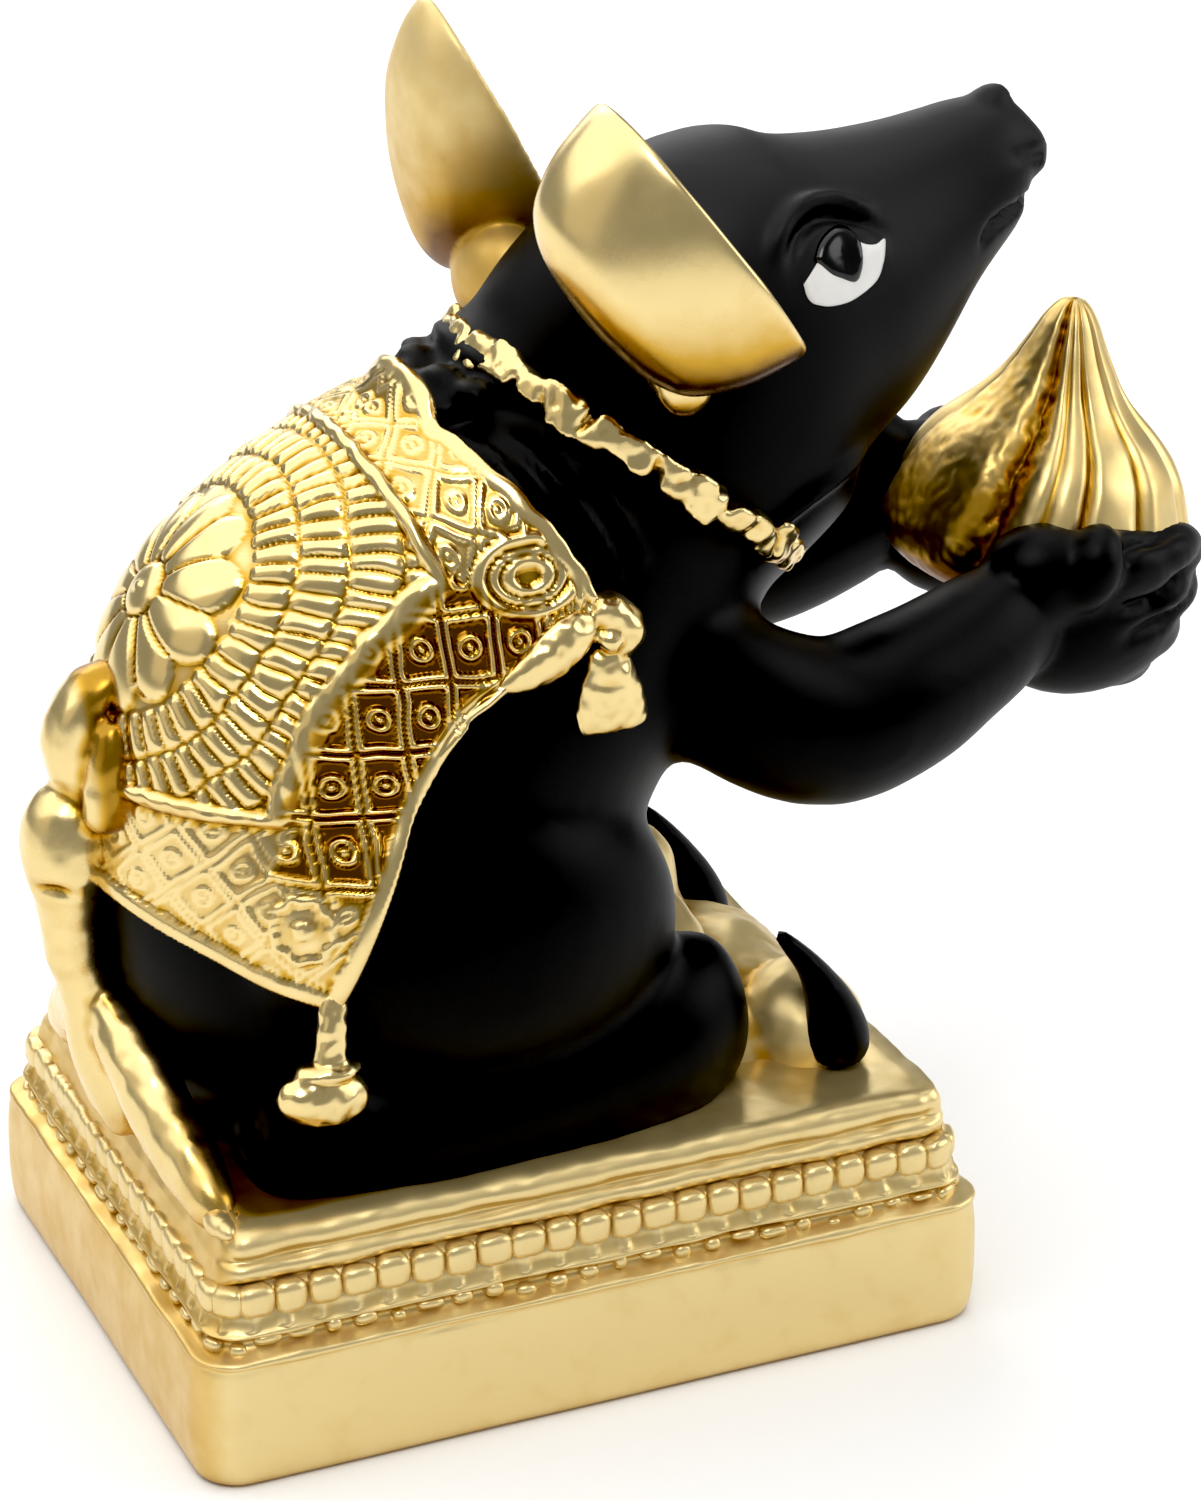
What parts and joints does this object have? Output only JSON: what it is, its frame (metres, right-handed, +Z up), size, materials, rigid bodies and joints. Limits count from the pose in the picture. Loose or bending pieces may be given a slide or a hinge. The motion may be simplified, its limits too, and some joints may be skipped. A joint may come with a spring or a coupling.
{
  "type": "rat figurine",
  "caption": "Figurine of a crouching rat on a moulded plinth, holding out a pleated sweet, with cup-like ears, necklace and saddle cloth.",
  "frame": {"origin": "centre of the plinth's underside", "axes": "+X the way the rat faces, +Y its left, +Z up"},
  "size_m": [0.0884, 0.0485, 0.09],
  "materials": {
    "gold_plating": "satin gold plating over a casting",
    "black_enamel": "matte black paint over the casting",
    "white_enamel": "satin white paint on the eyes"
  },
  "bodies": {
    "root": {"rat_figurine": "gold_plating"}
  },
  "joints": []
}
